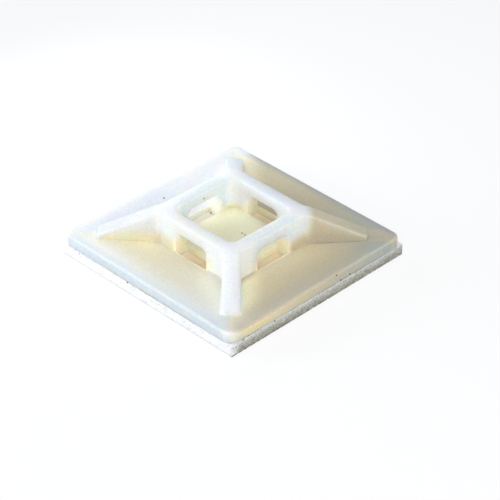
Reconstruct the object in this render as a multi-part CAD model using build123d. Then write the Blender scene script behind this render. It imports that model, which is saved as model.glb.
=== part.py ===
from build123d import *
from math import radians, sqrt, tan
import os

# Four-way adhesive cable tie mount, in millimetres.
# A moulded plate carries a square frame with a tie slot under each of its four bars,
# and under each bar the plate is open down to the pad.
# A rib runs from each corner of the frame towards a corner of the plate.
# A foam pad and its peel-off liner are stuck under the plate.
# +Z points away from the surface that the mount is stuck to, X and Y run along the plate's sides,
# and the origin is the centre of the underside.

# Moulded plate
plate_side = 27.8
plate_corner = 1.2
plate_edge_round = 0.3
rim_thickness = 1.35
rim_width = 0.8
deck_thickness = 0.8
deck_level_strip = 0.4  # level deck round the frame's foot, before the deck rises to the rim

# Square frame that the tie goes round
frame_side = 13.1
frame_height = 4.0  # above the deck
frame_wall = 1.7
frame_draft = 1.5  # degrees that the outer faces lean in
frame_edge_round = 0.25
foot_round = 0.2
well_corner = 1.0

# Tie slots
slot_width = 5.0
slot_height = 2.6
slot_corner = 0.8

# Ribs along the diagonals
rib_width = 2.1
rib_corner_gap = 4.0  # from the rib's end to the plate's sharp corner, along the diagonal
rib_end_height = 0.35  # above the rim
rib_end_round = 0.4
rib_level_run = 0.35  # level stretch from the rib's root, before it slopes down
rib_shoulder_round = 2.0
rib_root_round = 0.6

# Adhesive foam pad and its liner, cut together
pad_overhang = 0.1
pad_thickness = 1.3
pad_twist = 0.45  # degrees that the pad is turned against the plate
liner_thickness = 0.15

# Levels above the surface that the mount is stuck to
pad_bottom = liner_thickness
plate_bottom = pad_bottom + pad_thickness
deck_top = plate_bottom + deck_thickness
rim_top = plate_bottom + rim_thickness
frame_top = deck_top + frame_height

# Sizes that follow from the ones above
frame_base_side = frame_side + 2 * frame_height * tan(radians(frame_draft))
well_side = frame_side - 2 * frame_wall
rib_start = frame_side / sqrt(2) - rib_width / 2
rib_end = plate_side / sqrt(2) - rib_corner_gap
pad_side = plate_side + 2 * pad_overhang


def reach(edge):
    """How far the middle of an edge lies from the centre, along a side and along a diagonal."""
    middle = edge.position_at(0.5)
    along_side = max(abs(middle.X), abs(middle.Y))
    along_diagonal = max(abs(middle.X + middle.Y), abs(middle.X - middle.Y)) / sqrt(2)
    return along_side, along_diagonal


def rim():
    """Rounded square rim, whose inside falls in four facets to the deck round the frame."""
    outline = RectangleRounded(plate_side, plate_side, plate_corner)
    blank = Pos(0, 0, plate_bottom) * extrude(outline, rim_thickness)
    blank = fillet(blank.faces().sort_by(Axis.Z)[-1].edges(), plate_edge_round)
    mouth_side = plate_side - 2 * rim_width
    floor_side = frame_base_side + 2 * deck_level_strip
    mouth = Pos(0, 0, rim_top) * Rectangle(mouth_side, mouth_side)
    floor = Pos(0, 0, deck_top) * Rectangle(floor_side, floor_side)
    return blank - loft([floor.faces()[0], mouth.faces()[0]])


def rib_roof():
    """The space under the sloping tops of the two ribs of one diagonal, as wide as the plate."""
    level_end = rib_start + rib_level_run
    rib_end_top = rim_top + rib_end_height
    outline = Polyline(
        (-rib_end, plate_bottom),
        (-rib_end, rib_end_top),
        (-level_end, frame_top),
        (level_end, frame_top),
        (rib_end, rib_end_top),
        (rib_end, plate_bottom),
        close=True,
    )
    roof = extrude(Plane.XZ * make_face(outline), plate_side, both=True)
    shoulders = roof.edges().filter_by(Axis.Y).group_by(Axis.Z)[-1]
    return fillet(shoulders, rib_shoulder_round)


def frame_block():
    """Solid block with the frame's drafted outside and the four ribs, all top edges rounded."""
    base = Pos(0, 0, deck_top) * Rectangle(frame_base_side, frame_base_side)
    block = extrude(base, frame_height, taper=frame_draft)
    bar = Pos(0, 0, deck_top) * extrude(Rectangle(2 * rib_end, rib_width), frame_height)
    bar = fillet(bar.edges().filter_by(Axis.Z), rib_end_round)
    block = block + Rot(0, 0, 45) * bar + Rot(0, 0, -45) * bar

    # Only where a rib leaves the frame do upright edges lie half a rib from a diagonal.
    upright = [e for e in block.edges() if abs(e.tangent_at(0.5).Z) > 0.9]
    roots = [e for e in upright if well_side / sqrt(2) < reach(e)[1] < frame_base_side / sqrt(2)]
    block = fillet(roots, rib_root_round)
    block = block & (Rot(0, 0, 45) * rib_roof()) & (Rot(0, 0, -45) * rib_roof())

    tops = [f for f in block.faces() if f.normal_at().Z > 0.7]
    sides = [f for f in block.faces() if abs(f.normal_at().Z) < 0.3]
    side_edges = [e for f in sides for e in f.edges()]
    outline = [e for f in tops for e in f.edges() if any(e.is_same(s) for s in side_edges)]
    return fillet(outline, frame_edge_round)


def ring():
    """Square ring with its ribs: the block with the well cut out and the well's brim rounded."""
    well = extrude(RectangleRounded(well_side, well_side, well_corner), frame_height)
    walls = frame_block() - Pos(0, 0, deck_top) * well
    brim = [e for e in walls.edges().group_by(Axis.Z)[-1] if reach(e)[0] <= well_side / 2 + 0.01]
    return fillet(brim, frame_edge_round)


def tie_passage():
    """Straight way for a tie through two opposite walls and their feet, its upper corners rounded."""
    mouth = Rectangle(slot_width, slot_height, align=(Align.CENTER, Align.MIN))
    mouth = fillet(mouth.vertices().group_by(Axis.Y)[-1], slot_corner)
    half_length = frame_base_side / 2 + foot_round
    return Pos(0, 0, deck_top) * extrude(Plane.XZ * mouth, half_length, both=True)


def core_hole():
    """Hole through the base sheet under one bar, where the mould's core for the slot comes through."""
    inside = well_side / 2
    outside = frame_base_side / 2
    outline = Pos((inside + outside) / 2, 0) * Rectangle(outside - inside, slot_width)
    return Pos(0, 0, plate_bottom) * extrude(outline, deck_thickness)


def mount_body():
    """The whole moulding: base sheet, ring with rounded feet and rim, then the slots and core holes cut."""
    sheet = extrude(RectangleRounded(plate_side, plate_side, plate_corner), deck_thickness)
    moulding = Pos(0, 0, plate_bottom) * sheet + ring()
    deck = [f for f in moulding.faces().filter_by(Axis.Z) if abs(f.center().Z - deck_top) < 0.001]
    feet = [e for f in deck for e in f.edges() if reach(e)[0] < plate_side / 2 - rim_width]
    moulding = fillet(feet, foot_round) + rim()
    for turn in (0, 90):
        moulding = moulding - Rot(0, 0, turn) * tie_passage()
    for turn in (0, 90, 180, 270):
        moulding = moulding - Rot(0, 0, turn) * core_hole()
    return moulding


def pad_sheet(thickness, height):
    """Square sheet of the pad's outline, turned as the pad is."""
    return Pos(0, 0, height) * Rot(0, 0, pad_twist) * extrude(Rectangle(pad_side, pad_side), thickness)


pieces = {
    "mount_body": mount_body(),
    "foam_pad": pad_sheet(pad_thickness, pad_bottom),
    "release_liner": pad_sheet(liner_thickness, 0),
}

os.makedirs("parts", exist_ok=True)
for name, piece in pieces.items():
    export_step(piece, f"parts/{name}.step")
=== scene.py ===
import math

import bmesh
import bpy
from mathutils import Matrix, Vector, noise
from mathutils.bvhtree import BVHTree


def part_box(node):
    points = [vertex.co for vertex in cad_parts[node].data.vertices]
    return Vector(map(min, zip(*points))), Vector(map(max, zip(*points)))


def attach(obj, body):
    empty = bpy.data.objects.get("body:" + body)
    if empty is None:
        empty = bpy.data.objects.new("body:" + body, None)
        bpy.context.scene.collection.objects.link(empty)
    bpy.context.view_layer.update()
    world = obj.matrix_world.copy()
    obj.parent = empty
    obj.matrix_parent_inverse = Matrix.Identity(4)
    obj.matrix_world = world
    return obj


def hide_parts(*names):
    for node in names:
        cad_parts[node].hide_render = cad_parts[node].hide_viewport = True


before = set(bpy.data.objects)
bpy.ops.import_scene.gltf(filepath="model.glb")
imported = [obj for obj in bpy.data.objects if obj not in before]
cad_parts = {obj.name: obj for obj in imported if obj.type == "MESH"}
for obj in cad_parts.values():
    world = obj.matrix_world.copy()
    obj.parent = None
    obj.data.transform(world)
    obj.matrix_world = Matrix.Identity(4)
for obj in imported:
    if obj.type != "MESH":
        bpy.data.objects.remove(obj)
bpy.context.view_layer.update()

# The three solids. Lengths are in metres and angles in degrees, unless a name says otherwise.
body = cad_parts["mount_body"]
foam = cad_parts["foam_pad"]
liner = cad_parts["release_liner"]
body_low, body_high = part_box("mount_body")
foam_low, foam_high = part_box("foam_pad")

# Camera, as fitted to the outlines of the plate, pad, frame and ribs in the photograph
image_pixels = 500
sensor_millimetres = 36.0
focal_pixels = 2148.2
camera_azimuth = 45.075
camera_elevation = 34.953
camera_roll = 0.463
camera_distance = 0.2510
aim_right = 0.002045
aim_up = 0.000409
nearest_seen = 0.01
farthest_seen = 10.0

# Corners of the plate as the photograph shows them, given by their signs in x and y.
# The front left side of the plate is the one at -Y.
front_corner = (1, -1)
right_corner = (1, 1)
back_corner = (-1, 1)
left_corner = (-1, -1)

# Levels and sizes of the moulding that the nylon's tones follow
deck_top = body_low.z + 0.0008
rim_top = body_low.z + 0.00135
rim_inside = body_high.x - 0.0008
well_half = 0.00485
frame_half = 0.00655
slot_half = 0.0025
rib_half = 0.00105
rib_start = 0.0082
rib_bend = 0.00856
rib_end = 0.01566
rib_end_top = deck_top + 0.0009
rib_slope = (body_high.z - rib_end_top) / (rib_end - rib_bend)

# A span is where a smooth step between two tones begins and ends. These are heights.
frame_span = (deck_top + 0.0003, deck_top + 0.0022)
post_foot_span = (deck_top, deck_top + 0.0003)
well_wall_span = (deck_top + 0.0001, deck_top + 0.0009)
slot_height_span = (deck_top + 0.0008, deck_top + 0.0022)
side_top_span = (rim_top - 0.0004, rim_top - 0.0001)

# Spans from the middle outward, towards the nearest side
well_span = (well_half, frame_half)
slot_inner_span = (well_half - 0.0003, well_half)
slot_outer_span = (frame_half + 0.00015, frame_half + 0.0004)
frame_foot_span = (frame_half + 0.0001, frame_half + 0.0003)
rib_feet_span = (frame_half, frame_half + 0.0012)
rim_span = (rim_inside - 0.0030, rim_inside + 0.0008)
outer_edge_span = (rim_inside - 0.0006, body_high.x)

# Spans along a side, and across the diagonal between two quarters of the plate
slot_jamb_span = (slot_half + 0.00005, slot_half + 0.0008)
bar_span = (0.0030, 0.0050)
front_haze_span = (-0.004, 0.009)
quarter_span = (-0.0010, 0.0010)

# Spans of the ribs: along their diagonal, across it, and down from their sloping tops
rib_root_span = (rib_start, rib_start + 0.0004)
rib_end_span = (rib_end, rib_end + 0.0003)
front_rib_end_span = (rib_end, rib_end + 0.0002)
rib_flank_span = (rib_half * 1.1, rib_half * 1.3)
rib_glow_span = (rib_half, 0.0042)
rib_depth_span = (0.0, 0.0010)

# Spans towards one corner of the plate, as the sum of x and y with that corner's signs
side_rib_span = (0.0114, 0.0136)
front_post_span = (0.0085, 0.0105)
front_painted_light_span = (0.010, 0.027)
front_tip_span = (0.0256, 0.0276)
right_painted_shade_span = (0.013, 0.027)
right_unlit_span = (0.004, 0.010)
back_painted_light_span = (0.009, 0.019)
back_white_span = (0.0225, 0.0265)
left_shade_span = (0.004, 0.015)
left_painted_light_span = (0.010, 0.024)

# Nylon: linear colours of the plate's places, most of them the cream with painted light, glow or
# shade
front_left_cream = (0.80, 0.74, 0.56, 1)
front_left_haze = (0.78, 0.76, 0.66, 1)
# Painted light on the deck towards the left corner
front_left_painted_light = (0.96, 0.92, 0.72, 1)
front_left_glow = (0.98, 0.89, 0.62, 1)
# Front right: the tan and the rim tone are the cream in painted shade, the peach is warm painted
# light towards the front, and the glow is painted
front_right_shaded_tan = (0.715, 0.62, 0.42, 1)
front_right_painted_light = (0.91, 0.81, 0.53, 1)
front_right_glow = (0.97, 0.90, 0.64, 1)
front_right_rim_shade = (0.62, 0.565, 0.44, 1)
# Back right: the tan is the cream in painted shade, the pale tone is painted light towards the
# back corner, the glow is painted, and the edge tone is painted shade
back_right_shaded_tan = (0.60, 0.54, 0.395, 1)
back_right_painted_light = (0.69, 0.62, 0.43, 1)
back_right_glow = (0.92, 0.87, 0.67, 1)
back_right_edge_shade = (0.44, 0.46, 0.45, 1)
# Back left: painted light that makes the deck near white, turning to painted shade towards the
# left corner
back_left_painted_light = (0.97, 0.97, 0.965, 1)
back_left_shade = (0.82, 0.84, 0.89, 1)
# Painted glow inside the well, for light through the nylon
well_painted_glow = (0.985, 0.865, 0.62, 1)
# Painted shade towards the right corner
right_corner_painted_shade = (0.46, 0.52, 0.49, 1)
# Painted shade on the right rib
right_rib_shaded_tan = (0.62, 0.57, 0.45, 1)
# Rim and sides: painted bluish light at front left, painted shade and warm painted light at front
# right
rim_painted_blue_light = (0.86, 0.90, 0.92, 1)
front_left_side_painted_light = (0.68, 0.74, 0.765, 1)
front_right_side_shade = (0.65, 0.58, 0.42, 1)
front_right_side_painted_light = (0.96, 0.80, 0.51, 1)

# Nylon: linear colours of the frame, the ribs and the slots, some of them painted light, shade or
# glow
bluish_white = (0.965, 0.98, 0.99, 1)
# Painted light on the front posts at front right, for light through the nylon
front_post_painted_light = (1.0, 0.975, 0.89, 1)
# Painted shade on the left rib
left_rib_shaded_white = (0.76, 0.76, 0.76, 1)
warm_white = (1.0, 0.96, 0.83, 1)
icy_white = (0.74, 0.87, 0.97, 1)
# Painted shade on the bars at back left
back_left_bar_shade = (0.64, 0.79, 0.84, 1)
# Painted yellow-orange glow in the slots, paler at back left
slot_painted_glow = (1.0, 0.87, 0.66, 1)
back_left_slot_painted_glow = (1.0, 0.93, 0.80, 1)

# Nylon: how much of a tone shows at most, and how clouds and mottling vary all of them
rim_painted_blue_light_share = 0.75
right_painted_shade_share = 0.8
front_tip_share = 0.7
rib_paleness = 0.9
cloud_depth = 0.12
cloud_size = 0.004
mottle_depth = 0.14
mottle_size = 0.00028

# Nylon: how far light travels inside it, for each place and for red, green and blue
reach_plate = 0.0008
reach_frame = 0.006
reach_rib = 0.002
reach_slot = 0.0004
reach_by_colour = (1.0, 0.75, 0.5)

# Nylon: its surface
nylon_refraction = 1.53
nylon_roughness = (0.38, 0.56)
nylon_patch_size = 0.002
nylon_grain_size = 0.0003
nylon_grain_depth = 0.00001

# Dirt specks: where each shows in the photograph, in its pixels, and how wide it is
speck_places = [
    (204.0, 198.5), (211.0, 213.0), (127.0, 282.5), (164.0, 198.0), (336.5, 275.5), (341.0, 280.0),
    (350.0, 274.0), (242.0, 233.0), (245.0, 235.0), (275.0, 321.0), (243.0, 340.0),
]
speck_radius = 0.00013
speck_wobble_size = speck_radius * 1.5
speck_span = (speck_radius, speck_radius * 1.6)
speck_brown = (0.045, 0.03, 0.02, 1)

# Foam pad: linear colours, with painted shade in its open cells and on its side at +X, and painted
# light on its glue at back left
foam_white = (0.97, 0.97, 0.965, 1)
foam_dull = (0.92, 0.92, 0.91, 1)
# Painted shade in the open cells, darker on the side at +X
foam_open_cell_shade = (0.60, 0.58, 0.56, 1)
foam_shaded_side_cell_shade = (0.13, 0.12, 0.10, 1)
foam_side_shade = (0.37, 0.35, 0.27, 1)
foam_glue = (0.93, 0.80, 0.56, 1)
foam_glue_painted_light = (1.0, 0.94, 0.80, 1)

# Foam pad: its cells, and in which patches they lie open
foam_cell = 0.00022
foam_hole_span = (0.12, 0.42)
foam_patch_size = foam_cell * 3
foam_patch_span = (0.45, 0.62)
shaded_side_opening = 0.08

# Foam pad: the painted shade on its side at +X, which thickens downward and towards the right
# corner
shaded_side_span = (foam_high.x - 0.0004, foam_high.x - 0.0001)
side_shade_height_span = (foam_low.z, foam_high.z + 0.0008)
side_shade_front_span = (0.0264, 0.0278)
side_shade_blotch_size = 0.0005
side_shade_blotch_range = (0.3, 1.4)
side_shade_growth_start = 0.004
side_shade_growth_range = (1.12, 2.0)

# Foam pad: the glue on its top, which shows through the holes under the slots, paler with painted
# light towards the back left
foam_top_span = (foam_high.z - 0.00003, foam_high.z - 0.00001)
glue_span = (frame_half + 0.001, frame_half + 0.002)
glue_painted_light_span = (-well_half, 0.0)

# Foam pad: its surface, and how deep an open cell is against the grain
foam_cloud_size = 0.0012
foam_roughness = (0.75, 0.95)
foam_roughness_size = 0.0006
foam_grain_size = 0.00012
foam_grain_depth = 0.00003
foam_pit_depth = 2.0

# Foam pad: the shape of its cut edge
cut_step = 0.00012
cut_wander = 0.00003
cut_wander_size = 0.0015
cut_cell_depth = 0.00005
cut_cell_start = 0.62
cut_cell_shift = Vector((7, 3, 5))
cut_corner_fade = 0.0004

# Liner: linear colours, its fibres, the dust and painted shade on its edge, and its surface
liner_pale = (0.90, 0.90, 0.88, 1)
liner_grey = (0.78, 0.78, 0.76, 1)
liner_dust_and_shade = (0.16, 0.15, 0.13, 1)
fibre_size = 0.0003
fibre_stretch = (1.0, 0.15, 1.0)
fibre_depth = 0.00001
dust_and_shade_size = 0.0004
dust_and_shade_span = (0.2, 0.6)
dust_and_shade_range = (0.1, 0.9)
liner_roughness = (0.3, 0.55)

# Floor: its size, its greys, and how far it shows as plain white paper that no lamp shades
floor_half = 4.0
floor_white = (1.1, 1.1, 1.1, 1)
floor_unseen = (0.8, 0.8, 0.8, 1)
floor_paleness = 0.75

# Lamps: azimuth from the camera's, elevation, distance, side, strength and colour.
# Azimuth 0 is over the camera and 90 to its right. A strength of 1 lights a surface that faces
# the lamp to the level at which its colour renders as written.
cool = (0.95, 1.0, 1.07)
plain = (1.0, 1.0, 1.0)
lamps = {
    "key_lamp": (246, 14, 0.05, 0.025, 0.08, cool),
    "back_lamp": (210, 35, 0.05, 0.025, 0.27, cool),
    "side_lamp": (270, 12, 0.25, 0.10, 0.55, cool),
    "front_lamp": (6, 34, 0.30, 0.20, 0.55, plain),
    "top_lamp": (0, 90, 0.30, 0.20, 0.31, cool),
    "right_lamp": (90, 12, 0.30, 0.20, 0.25, cool),
}
room_strength = 0.10


def direction(azimuth, elevation):
    """Unit vector to an azimuth and an elevation in radians, where azimuth 0 is at -Y."""
    return Vector((
        math.sin(azimuth) * math.cos(elevation),
        -math.cos(azimuth) * math.cos(elevation),
        math.sin(elevation),
    ))


def camera_frame():
    """Directions to the camera's right, up and back, and the camera's place."""
    azimuth = math.radians(camera_azimuth)
    roll = math.radians(camera_roll)
    back = direction(azimuth, math.radians(camera_elevation))
    level = Vector((math.cos(azimuth), math.sin(azimuth), 0))
    upright = back.cross(level)
    right = level * math.cos(roll) + upright * math.sin(roll)
    up = upright * math.cos(roll) - level * math.sin(roll)
    place = right * aim_right + up * aim_up + back * camera_distance
    return right, up, back, place


def add_object(name, data):
    """A new object in the scene."""
    item = bpy.data.objects.new(name, data)
    bpy.context.scene.collection.objects.link(item)
    return item


def add_camera():
    """Camera at the photograph's viewing angle, aimed a little off the origin as it is there."""
    right, up, back, place = camera_frame()
    data = bpy.data.cameras.new("camera")
    data.sensor_width = sensor_millimetres
    data.lens = focal_pixels * sensor_millimetres / image_pixels
    data.clip_start = nearest_seen
    data.clip_end = farthest_seen
    camera = add_object("camera", data)
    turn = Matrix((right, up, back)).transposed().to_4x4()
    camera.matrix_world = Matrix.Translation(place) @ turn
    bpy.context.scene.camera = camera


def seen_points(pixels):
    """Where pixels of the photograph fall on the nylon or on the foam."""
    right, up, back, place = camera_frame()
    trees = []
    for node in (body, foam):
        corners = [vertex.co for vertex in node.data.vertices]
        faces = [face.vertices for face in node.data.polygons]
        trees.append(BVHTree.FromPolygons(corners, faces))
    points = []
    middle = image_pixels / 2
    for across, down in pixels:
        ray = right * (across - middle) + up * (middle - down) - back * focal_pixels
        hits = [tree.ray_cast(place, ray) for tree in trees]
        points.append(min((hit for hit in hits if hit[0]), key=lambda hit: hit[3])[0])
    return points


class Graph:
    """Short calls that add nodes to one material and join them up."""

    def __init__(self, material):
        self.tree = material.node_tree
        self.place = self.add("ShaderNodeTexCoord").outputs["Object"]
        split = self.add("ShaderNodeSeparateXYZ")
        self.feed(split.inputs[0], self.place)
        self.x = split.outputs["X"]
        self.y = split.outputs["Y"]
        self.height = split.outputs["Z"]

    def add(self, kind, **settings):
        node = self.tree.nodes.new(kind)
        for name, value in settings.items():
            setattr(node, name, value)
        return node

    def feed(self, socket, value):
        """Join another node's output to a socket, or write a plain value into it."""
        if isinstance(value, bpy.types.NodeSocket):
            self.tree.links.new(value, socket)
        else:
            socket.default_value = value

    def calc(self, operation, first, *others):
        """One operation on a value alone, or on all of the values from left to right."""
        for other in others or (0.0,):
            node = self.add("ShaderNodeMath", operation=operation)
            self.feed(node.inputs[0], first)
            self.feed(node.inputs[1], other)
            first = node.outputs[0]
        return first

    def product(self, *values):
        return self.calc("MULTIPLY", *values)

    def most(self, *values):
        return self.calc("MAXIMUM", *values)

    def rest(self, value):
        return self.calc("SUBTRACT", 1.0, value)

    def towards(self, corner):
        """How far a point lies towards one corner of the plate, as the sum of x and y."""
        sign_x, sign_y = corner
        return self.calc("ADD", self.product(self.x, sign_x), self.product(self.y, sign_y))

    def rise(self, value, low, high):
        """0 below low and 1 above high, with a smooth step between."""
        node = self.add("ShaderNodeMapRange", interpolation_type="SMOOTHSTEP")
        self.feed(node.inputs["Value"], value)
        self.feed(node.inputs["From Min"], low)
        self.feed(node.inputs["From Max"], high)
        return node.outputs["Result"]

    def fall(self, value, low, high):
        """1 below low and 0 above high, with a smooth step between."""
        return self.rest(self.rise(value, low, high))

    def stretch(self, value, low, high, start=0.0, end=1.0):
        """A value from start to end laid over low to high."""
        node = self.add("ShaderNodeMapRange")
        self.feed(node.inputs["Value"], value)
        self.feed(node.inputs["From Min"], start)
        self.feed(node.inputs["From Max"], end)
        self.feed(node.inputs["To Min"], low)
        self.feed(node.inputs["To Max"], high)
        return node.outputs["Result"]

    def blend(self, amount, first, second):
        node = self.add("ShaderNodeMix", data_type="RGBA")
        self.feed(node.inputs["Factor"], amount)
        self.feed(node.inputs["A"], first)
        self.feed(node.inputs["B"], second)
        return node.outputs["Result"]

    def layers(self, colour, *steps):
        """A colour with others laid over it in turn, each with its own mask."""
        for mask, tone in steps:
            colour = self.blend(mask, colour, tone)
        return colour

    def noise(self, size, detail=2.0, offset=0.0, place=None):
        """Cloudy noise from 0 to 1 with lumps of about that size."""
        shifted = self.add("ShaderNodeVectorMath", operation="ADD")
        self.feed(shifted.inputs[0], self.place if place is None else place)
        shifted.inputs[1].default_value = (offset, offset, offset)
        node = self.add("ShaderNodeTexNoise")
        self.feed(node.inputs["Vector"], shifted.outputs[0])
        node.inputs["Scale"].default_value = 1 / size
        node.inputs["Detail"].default_value = detail
        return node.outputs["Fac"]

    def bump(self, height, distance):
        node = self.add("ShaderNodeBump")
        self.feed(node.inputs["Height"], height)
        node.inputs["Distance"].default_value = distance
        node.inputs["Strength"].default_value = 1.0
        return node.outputs["Normal"]


def new_material(name):
    """An empty node material with a Principled shader, and that shader."""
    material = bpy.data.materials.new(name)
    material.use_nodes = True
    nodes = material.node_tree.nodes
    nodes.clear()
    output = nodes.new("ShaderNodeOutputMaterial")
    shader = nodes.new("ShaderNodeBsdfPrincipled")
    material.node_tree.links.new(shader.outputs["BSDF"], output.inputs["Surface"])
    return material, shader


class Places:
    """Places on the moulding as masks from 0 to 1, worked out from a point's own coordinates."""

    def __init__(self, graph):
        across_x = graph.calc("ABSOLUTE", graph.x)
        across_y = graph.calc("ABSOLUTE", graph.y)
        outward = graph.calc("MAXIMUM", across_x, across_y)
        sideways = graph.calc("MINIMUM", across_x, across_y)
        root = math.sqrt(2)
        along_diagonal = graph.calc("DIVIDE", graph.calc("ADD", across_x, across_y), root)
        off_diagonal = graph.calc("DIVIDE", graph.calc("SUBTRACT", outward, sideways), root)
        to_front = graph.towards(front_corner)
        to_right = graph.towards(right_corner)
        to_back = graph.towards(back_corner)
        to_left = graph.towards(left_corner)

        # The four quarters of the plate between its diagonals
        self.front_right = self.quarter(graph, graph.x, 1, across_y)
        self.back_right = self.quarter(graph, graph.y, 1, across_x)
        self.back_left = self.quarter(graph, graph.x, -1, across_y)
        others = graph.most(self.front_right, self.back_right, self.back_left)
        self.front_left = graph.rest(others)

        # The deck's slope up to the rim, the plate's outer edge, and all that lies below the rim
        self.rim = graph.rise(outward, *rim_span)
        self.outer_edge = graph.rise(outward, *outer_edge_span)
        self.below_rim = graph.fall(graph.height, *side_top_span)

        # Tones that grow along a deck or towards a corner of the plate, most of them painted light
        # or painted shade
        self.front_haze = graph.rise(graph.x, *front_haze_span)
        self.front_painted_light = graph.rise(to_front, *front_painted_light_span)
        self.front_tip = graph.rise(to_front, *front_tip_span)
        self.right_painted_shade = graph.rise(to_right, *right_painted_shade_span)
        self.back_painted_light = graph.rise(to_back, *back_painted_light_span)
        self.back_white = graph.rise(to_back, *back_white_span)
        self.left_shade = graph.rise(to_left, *left_shade_span)
        self.left_painted_light = graph.rise(to_left, *left_painted_light_span)

        # The ribs: the strip they stand on, their upper parts, and the deck that glows beside them
        self.right_rib = graph.rise(to_right, *side_rib_span)
        self.left_rib = graph.rise(to_left, *side_rib_span)
        self.rib_strip = graph.fall(off_diagonal, *rib_flank_span)
        drop = graph.product(graph.calc("SUBTRACT", along_diagonal, rib_bend), rib_slope)
        depth = graph.calc("SUBTRACT", body_high.z, drop, graph.height)
        self.ribs = graph.product(
            graph.fall(depth, *rib_depth_span),
            self.rib_strip,
            graph.fall(along_diagonal, *rib_end_span),
            graph.rise(along_diagonal, *rib_root_span),
        )
        self.rib_feet = graph.product(
            graph.fall(off_diagonal, *rib_glow_span),
            graph.rise(outward, *rib_feet_span),
            graph.fall(to_right, *right_unlit_span),
        )

        # The frame: its upper part, the well, its walls, and the middles of the four bars
        self.upper = graph.rise(graph.height, *frame_span)
        self.well = graph.fall(outward, *well_span)
        self.well_walls = graph.product(self.well, graph.rise(graph.height, *well_wall_span))
        self.bars = graph.fall(sideways, *bar_span)

        # The frame's front corner with its rib, down to their feet
        front_rib = graph.product(self.rib_strip, graph.fall(along_diagonal, *front_rib_end_span))
        self.front_posts = graph.product(
            graph.rise(to_front, *front_post_span),
            graph.most(graph.fall(outward, *frame_foot_span), front_rib),
            graph.rise(graph.height, *post_foot_span),
        )

        # Jambs and floor of the tie slots, and a little of the posts round them
        self.slots = graph.product(
            graph.fall(sideways, *slot_jamb_span),
            graph.rise(outward, *slot_inner_span),
            graph.fall(outward, *slot_outer_span),
            graph.fall(graph.height, *slot_height_span),
        )

    @staticmethod
    def quarter(graph, coordinate, sign, across):
        """The quarter of the plate that lies towards one side."""
        lead = graph.calc("SUBTRACT", graph.product(coordinate, sign), across)
        return graph.rise(lead, *quarter_span)


def specks(graph, points):
    """1 on the dirt specks and 0 elsewhere. Their outline is a little uneven."""
    wobble = graph.product(graph.noise(speck_wobble_size, detail=1.0, offset=0.9), speck_radius)
    marked = 0.0
    for point in points:
        apart = graph.add("ShaderNodeVectorMath", operation="DISTANCE")
        graph.feed(apart.inputs[0], graph.place)
        apart.inputs[1].default_value = point
        reach = graph.calc("ADD", apart.outputs["Value"], wobble)
        marked = graph.most(marked, graph.fall(reach, *speck_span))
    return marked


def plate_colour(graph, at):
    """Tones of the deck's four quarters, the well's floor, the rim and the plate's sides, most of
    them painted light, glow or shade.
    """
    front_right = graph.layers(
        front_right_shaded_tan,
        (graph.product(at.front_painted_light, graph.rest(at.rim)), front_right_painted_light),
        (at.rib_feet, front_right_glow),
    )
    back_right = graph.layers(
        back_right_shaded_tan,
        (at.back_painted_light, back_right_painted_light),
        (at.rib_feet, back_right_glow),
    )
    back_left = graph.blend(at.left_shade, back_left_painted_light, back_left_shade)
    left_rib_foot = graph.product(at.rib_feet, at.left_rib, graph.rest(at.left_painted_light))
    right_side = graph.product(at.outer_edge, at.below_rim, at.front_right)
    return graph.layers(
        front_left_cream,
        (at.front_haze, front_left_haze),
        (at.left_painted_light, front_left_painted_light),
        (left_rib_foot, front_left_glow),
        (at.front_right, front_right),
        (at.back_right, back_right),
        (at.back_left, back_left),
        (at.well, well_painted_glow),
        (graph.product(at.rim, at.front_left, rim_painted_blue_light_share), rim_painted_blue_light),
        (graph.product(at.rim, at.front_right), front_right_rim_shade),
        (graph.product(at.outer_edge, at.front_left), front_left_side_painted_light),
        (right_side, front_right_side_shade),
        (graph.product(right_side, at.front_painted_light), front_right_side_painted_light),
        (graph.product(at.right_painted_shade, right_painted_shade_share), right_corner_painted_shade),
        (graph.product(at.right_rib, at.rib_strip), right_rib_shaded_tan),
        (graph.product(at.outer_edge, at.back_right), back_right_edge_shade),
        (at.back_white, bluish_white),
        (graph.product(at.front_tip, front_tip_share), bluish_white),
    )


def frame_colour(graph, at):
    """Tones of the frame and the ribs, with painted shade on the left rib and on the back left
    bars, and painted light on the front posts at front right.
    """
    return graph.layers(
        bluish_white,
        (at.left_rib, left_rib_shaded_white),
        (graph.product(at.bars, at.front_left), warm_white),
        (graph.product(at.bars, at.front_right), icy_white),
        (graph.product(at.bars, at.back_left), back_left_bar_shade),
        (graph.product(at.front_posts, at.front_right), front_post_painted_light),
    )


def nylon_colour(graph, at):
    """The plate's tones, then the frame's and the ribs', then the slots' painted glow, all a
    little cloudy.
    """
    ribs = graph.product(at.ribs, rib_paleness)
    pale = graph.most(at.upper, ribs, at.front_posts, at.well_walls)
    pale = graph.product(pale, graph.rest(at.right_rib))
    colour = graph.blend(pale, plate_colour(graph, at), frame_colour(graph, at))
    # Painted yellow-orange glow in the slots, paler at back left
    colour = graph.blend(at.slots, colour, graph.blend(at.back_left, slot_painted_glow, back_left_slot_painted_glow))

    cloud = graph.noise(cloud_size, detail=3.0)
    mottle = graph.noise(mottle_size, detail=3.0, offset=0.8)
    saturation = graph.stretch(cloud, 1.0 + cloud_depth / 2, 1.0 - cloud_depth / 2)
    value = graph.stretch(mottle, 1.0 - mottle_depth, 1.0 + mottle_depth)
    clouded = graph.add("ShaderNodeHueSaturation")
    graph.feed(clouded.inputs["Saturation"], saturation)
    graph.feed(clouded.inputs["Value"], value)
    graph.feed(clouded.inputs["Color"], colour)
    return clouded.outputs["Color"]


def light_reach(graph, at):
    """How far light travels in the nylon: far in the frame, short in the plate and the slots."""
    reach = graph.stretch(at.upper, reach_plate, reach_frame)
    reach = graph.most(reach, graph.product(at.ribs, reach_rib))
    return graph.most(graph.product(reach, graph.rest(at.slots)), reach_slot)


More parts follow.
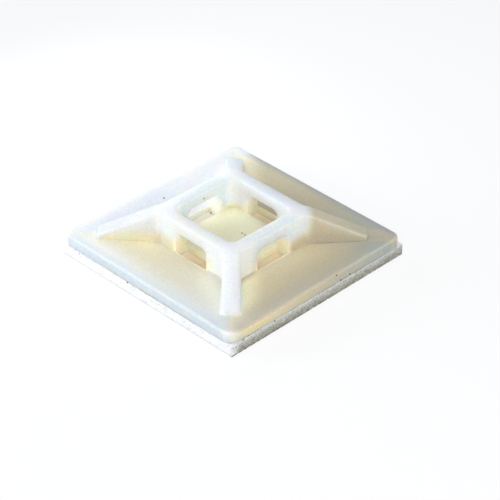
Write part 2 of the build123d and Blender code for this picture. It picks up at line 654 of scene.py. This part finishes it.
def nylon_material(speck_points):
    """Translucent nylon: cream in the plate, whiter and bluer in the frame, with painted light and
    shade by place and a painted yellow-orange glow in the slots.
    """
    material, shader = new_material("natural_nylon")
    graph = Graph(material)
    at = Places(graph)
    dirt = specks(graph, speck_points)
    colour = graph.blend(dirt, nylon_colour(graph, at), speck_brown)
    graph.feed(shader.inputs["Base Color"], colour)
    patches = graph.noise(nylon_patch_size, detail=3.0, offset=0.3)
    graph.feed(shader.inputs["Roughness"], graph.stretch(patches, *nylon_roughness))
    shader.inputs["IOR"].default_value = nylon_refraction
    graph.feed(shader.inputs["Subsurface Weight"], graph.rest(dirt))
    shader.inputs["Subsurface Radius"].default_value = reach_by_colour
    graph.feed(shader.inputs["Subsurface Scale"], light_reach(graph, at))
    grain = graph.noise(nylon_grain_size, offset=0.7)
    graph.feed(shader.inputs["Normal"], graph.bump(grain, nylon_grain_depth))
    return material


def foam_material(speck_points):
    """White foam with open cells darkened by painted shade, painted shade on its cut edge at +X,
    and glue on its top.
    """
    material, shader = new_material("foam_tape")
    graph = Graph(material)
    shaded_side = graph.rise(graph.x, *shaded_side_span)
    colour = graph.blend(graph.noise(foam_cloud_size, detail=4.0), foam_dull, foam_white)

    # Painted shade on the side at +X, blotchy, thickening downward and towards the right corner
    growth = graph.stretch(graph.y, *side_shade_growth_range, start=side_shade_growth_start, end=foam_high.y)
    side_shade = graph.product(
        shaded_side,
        graph.fall(graph.height, *side_shade_height_span),
        graph.stretch(graph.noise(side_shade_blotch_size, detail=4.0, offset=0.4), *side_shade_blotch_range),
        graph.fall(graph.towards(front_corner), *side_shade_front_span),
        growth,
    )
    colour = graph.blend(side_shade, colour, foam_side_shade)

    # Open cells as pits, darkened with painted shade, more on the side at +X
    cells = graph.add("ShaderNodeTexVoronoi")
    graph.feed(cells.inputs["Vector"], graph.place)
    cells.inputs["Scale"].default_value = 1 / foam_cell
    hole = graph.fall(cells.outputs["Distance"], *foam_hole_span)
    patches = graph.noise(foam_patch_size, detail=3.0, offset=0.2)
    patches = graph.calc("ADD", patches, graph.product(shaded_side, shaded_side_opening))
    open_cell = graph.product(hole, graph.rise(patches, *foam_patch_span))
    open_cell_shade = graph.blend(shaded_side, foam_open_cell_shade, foam_shaded_side_cell_shade)
    colour = graph.blend(open_cell, colour, open_cell_shade)

    top = graph.rise(graph.height, *foam_top_span)
    under_frame = graph.fall(graph.calc("ABSOLUTE", graph.x), *glue_span)
    # Glue, paler with painted light towards the back left
    glue = graph.blend(graph.fall(graph.x, *glue_painted_light_span), foam_glue, foam_glue_painted_light)
    colour = graph.blend(graph.product(top, under_frame), colour, glue)
    colour = graph.blend(specks(graph, speck_points), colour, speck_brown)
    graph.feed(shader.inputs["Base Color"], colour)

    rough = graph.noise(foam_roughness_size, detail=3.0, offset=0.5)
    graph.feed(shader.inputs["Roughness"], graph.stretch(rough, *foam_roughness))
    grain = graph.noise(foam_grain_size, detail=3.0, offset=0.6)
    relief = graph.calc("SUBTRACT", grain, graph.product(open_cell, foam_pit_depth))
    graph.feed(shader.inputs["Normal"], graph.bump(relief, foam_grain_depth))
    return material


def liner_material():
    """Thin waxed film, cloudy with short fibres, whose cut edge is dusty, with painted shade on
    the side at +X.
    """
    material, shader = new_material("liner_film")
    graph = Graph(material)
    stretched = graph.add("ShaderNodeMapping")
    graph.feed(stretched.inputs["Vector"], graph.place)
    stretched.inputs["Scale"].default_value = fibre_stretch
    fibres = graph.noise(fibre_size, detail=4.0, place=stretched.outputs["Vector"])
    shaded_side = graph.rise(graph.x, *shaded_side_span)
    # Dust along the edge, thickened into painted shade on the side at +X
    dust_and_shade = graph.rise(graph.noise(dust_and_shade_size, detail=4.0, offset=0.3), *dust_and_shade_span)
    dust_and_shade = graph.product(dust_and_shade, graph.stretch(shaded_side, *dust_and_shade_range))
    colour = graph.blend(fibres, liner_grey, liner_pale)
    graph.feed(shader.inputs["Base Color"], graph.blend(dust_and_shade, colour, liner_dust_and_shade))
    graph.feed(shader.inputs["Roughness"], graph.stretch(fibres, *liner_roughness))
    graph.feed(shader.inputs["Normal"], graph.bump(fibres, fibre_depth))
    return material


def dress(node, material):
    node.data.materials.clear()
    node.data.materials.append(material)


def pad_corners():
    """The four corners of the pad seen from above, going round."""
    corners = {(round(v.co.x, 7), round(v.co.y, 7)) for v in foam.data.vertices}
    ring = sorted(corners, key=lambda corner: math.atan2(corner[1], corner[0]))
    return [Vector((x, y, 0)) for x, y in ring]


def cut_depth(point, from_corner):
    """How far the cut face lies inside its true plane: a slow wander and small open cells."""
    wander = 0.5 + 0.5 * noise.noise(point / cut_wander_size)
    crumb = 0.5 + 0.5 * noise.noise(point / foam_cell + cut_cell_shift)
    open_cell = max(0.0, crumb - cut_cell_start) / (1 - cut_cell_start)
    depth = cut_wander * wander + cut_cell_depth * open_cell
    return depth * min(1.0, from_corner / cut_corner_fade)


def foam_piece():
    """The foam pad with its rough cut edge: a closed block whose four sides are fine grids."""
    corners = pad_corners()
    thickness = foam_high.z - foam_low.z
    rows = max(2, round(thickness / cut_step))
    mesh = bmesh.new()
    columns = []
    for start, end in zip(corners, corners[1:] + corners[:1]):
        along = (end - start).normalized()
        inward = Vector((-along.y, along.x, 0))
        length = (end - start).length
        count = round(length / cut_step)
        for step in range(count):
            travel = length * step / count
            column = []
            for row in range(rows + 1):
                point = start + along * travel
                point.z = foam_low.z + thickness * row / rows
                depth = cut_depth(point, min(travel, length - travel))
                column.append(mesh.verts.new(point + inward * depth))
            columns.append(column)
    for here, following in zip(columns, columns[1:] + columns[:1]):
        for row in range(rows):
            square = (here[row], following[row], following[row + 1], here[row + 1])
            mesh.faces.new(square).smooth = True
    mesh.faces.new([column[-1] for column in columns])
    mesh.faces.new([column[0] for column in reversed(columns)])
    data = bpy.data.meshes.new("foam_block")
    mesh.to_mesh(data)
    mesh.free()
    piece = add_object("foam_block", data)
    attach(piece, "root")
    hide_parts("foam_pad")
    return piece


def seen_and_unseen(tree, seen, unseen):
    """One shader for what the camera sees by itself, and another for the light that it gives."""
    path = tree.nodes.new("ShaderNodeLightPath")
    mix = tree.nodes.new("ShaderNodeMixShader")
    tree.links.new(path.outputs["Is Camera Ray"], mix.inputs["Fac"])
    tree.links.new(unseen, mix.inputs[1])
    tree.links.new(seen, mix.inputs[2])
    return mix.outputs["Shader"]


def add_floor():
    """Plain pale floor that keeps the object's shadow."""
    mesh = bpy.data.meshes.new("floor")
    corners = [(-floor_half, -floor_half, 0), (floor_half, -floor_half, 0),
               (floor_half, floor_half, 0), (-floor_half, floor_half, 0)]
    mesh.from_pydata(corners, [], [(0, 1, 2, 3)])
    floor = add_object("floor", mesh)
    material = bpy.data.materials.new("floor")
    material.use_nodes = True
    tree = material.node_tree
    tree.nodes.clear()
    shaded = tree.nodes.new("ShaderNodeBsdfDiffuse")
    shaded.inputs["Color"].default_value = floor_white
    paper = tree.nodes.new("ShaderNodeEmission")
    paper.inputs["Strength"].default_value = 1.0
    seen = tree.nodes.new("ShaderNodeMixShader")
    seen.inputs["Fac"].default_value = floor_paleness
    tree.links.new(shaded.outputs["BSDF"], seen.inputs[1])
    tree.links.new(paper.outputs["Emission"], seen.inputs[2])
    unseen = tree.nodes.new("ShaderNodeBsdfDiffuse")
    unseen.inputs["Color"].default_value = floor_unseen
    output = tree.nodes.new("ShaderNodeOutputMaterial")
    both = seen_and_unseen(tree, seen.outputs["Shader"], unseen.outputs["BSDF"])
    tree.links.new(both, output.inputs["Surface"])
    mesh.materials.append(material)


def add_lamp(name, azimuth, elevation, distance, size, strength, colour):
    """Soft square lamp aimed at the object."""
    turn = math.radians(camera_azimuth + azimuth)
    place = distance * direction(turn, math.radians(elevation))
    data = bpy.data.lights.new(name, "AREA")
    data.shape = "SQUARE"
    data.size = size
    data.energy = strength * (math.pi * distance) ** 2
    data.color = colour
    lamp = add_object(name, data)
    lamp.location = place
    lamp.rotation_mode = "QUATERNION"
    lamp.rotation_quaternion = place.to_track_quat("Z", "Y")


def add_world():
    """Even light from a white room, which the camera sees as plain white paper."""
    world = bpy.data.worlds.new("studio")
    bpy.context.scene.world = world
    world.use_nodes = True
    tree = world.node_tree
    tree.nodes.clear()
    tones = []
    for strength in (1.0, room_strength):
        tone = tree.nodes.new("ShaderNodeBackground")
        tone.inputs["Color"].default_value = (1, 1, 1, 1)
        tone.inputs["Strength"].default_value = strength
        tones.append(tone.outputs["Background"])
    output = tree.nodes.new("ShaderNodeOutputWorld")
    tree.links.new(seen_and_unseen(tree, *tones), output.inputs["Surface"])


speck_points = seen_points(speck_places)
dress(body, nylon_material(speck_points))
dress(foam_piece(), foam_material(speck_points))
dress(liner, liner_material())
add_camera()
add_floor()
for name, settings in lamps.items():
    add_lamp(name, *settings)
add_world()
bpy.context.scene.view_settings.view_transform = "Standard"
